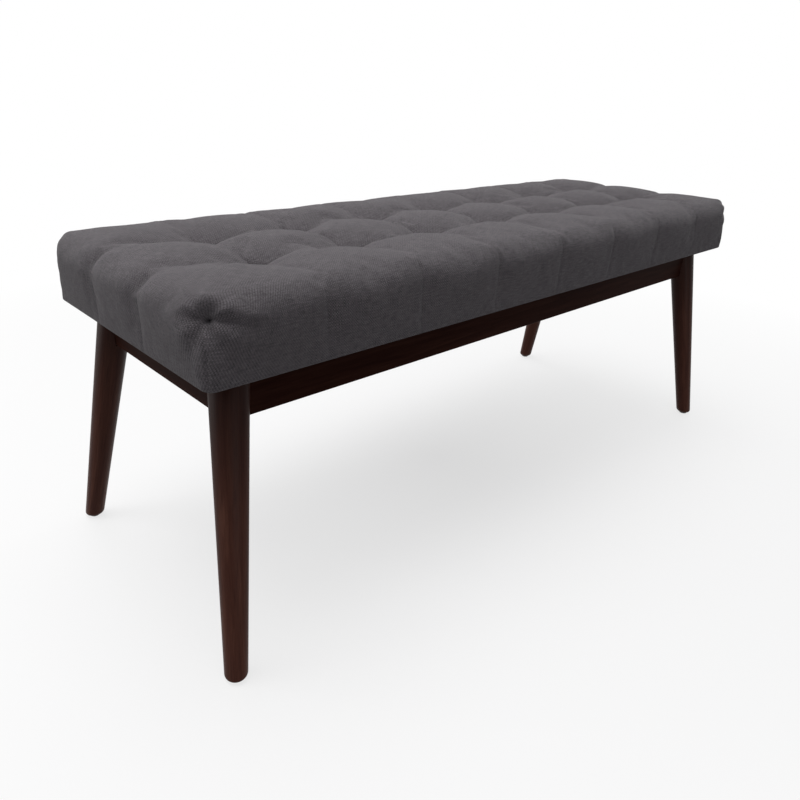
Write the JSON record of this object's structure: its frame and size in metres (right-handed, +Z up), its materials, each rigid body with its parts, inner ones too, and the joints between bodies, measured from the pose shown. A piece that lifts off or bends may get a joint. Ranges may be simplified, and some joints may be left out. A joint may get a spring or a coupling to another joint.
{
  "type": "upholstered bench",
  "caption": "Bench with a fabric seat tufted in square panels, on a timber rail frame with round, tapered legs that splay outwards.",
  "frame": {"origin": "on the floor, under the middle of the bench", "axes": "+X runs along the bench to the right as seen from the front, -Y faces the front, +Z is up"},
  "size_m": [1.1178, 0.4384, 0.4064],
  "materials": {
    "seat_fabric": "matt charcoal-grey woven cloth",
    "foam": "matt, open-cell upholstery foam",
    "plywood": "matt, unfinished plywood",
    "dust_cloth": "matt, thin non-woven cloth",
    "twine": "matt, waxed twine",
    "stained_wood": "satin, dark espresso stain",
    "raw_wood": "matt, unfinished hardwood",
    "zinc_steel": "zinc-plated steel",
    "nylon": "matt dark nylon"
  },
  "bodies": {
    "root": {"seat_cover": "seat_fabric", "seat_foam": "foam", "seat_deck": "plywood", "dust_cover": "dust_cloth", "tuft_tie_front_1": "twine", "tuft_tie_front_2": "twine", "tuft_tie_front_3": "twine", "tuft_tie_front_4": "twine", "tuft_tie_front_5": "twine", "tuft_tie_front_6": "twine", "tuft_tie_front_7": "twine", "tuft_tie_back_1": "twine", "tuft_tie_back_2": "twine", "tuft_tie_back_3": "twine", "tuft_tie_back_4": "twine", "tuft_tie_back_5": "twine", "tuft_tie_back_6": "twine", "tuft_tie_back_7": "twine", "front_rail": "stained_wood", "right_rail": "stained_wood", "back_rail": "stained_wood", "left_rail": "stained_wood", "leg_front_left": "stained_wood", "leg_front_right": "stained_wood", "leg_back_right": "stained_wood", "leg_back_left": "stained_wood", "corner_block_front_left": "raw_wood", "corner_block_front_right": "raw_wood", "corner_block_back_right": "raw_wood", "corner_block_back_left": "raw_wood", "glide_front_left": "nylon", "glide_front_right": "nylon", "glide_back_right": "nylon", "glide_back_left": "nylon", "hanger_bolt_front_left": "zinc_steel", "hanger_bolt_front_right": "zinc_steel", "hanger_bolt_back_right": "zinc_steel", "hanger_bolt_back_left": "zinc_steel", "washer_front_left": "zinc_steel", "washer_front_right": "zinc_steel", "washer_back_right": "zinc_steel", "washer_back_left": "zinc_steel", "nut_front_left": "zinc_steel", "nut_front_right": "zinc_steel", "nut_back_right": "zinc_steel", "nut_back_left": "zinc_steel", "seat_screw_front_left": "zinc_steel", "seat_screw_front_right": "zinc_steel", "seat_screw_back_right": "zinc_steel", "seat_screw_back_left": "zinc_steel", "block_screw_front_left_1": "zinc_steel", "block_screw_front_left_2": "zinc_steel", "block_screw_front_right_1": "zinc_steel", "block_screw_front_right_2": "zinc_steel", "block_screw_back_right_1": "zinc_steel", "block_screw_back_right_2": "zinc_steel", "block_screw_back_left_1": "zinc_steel", "block_screw_back_left_2": "zinc_steel"}
  },
  "joints": []
}
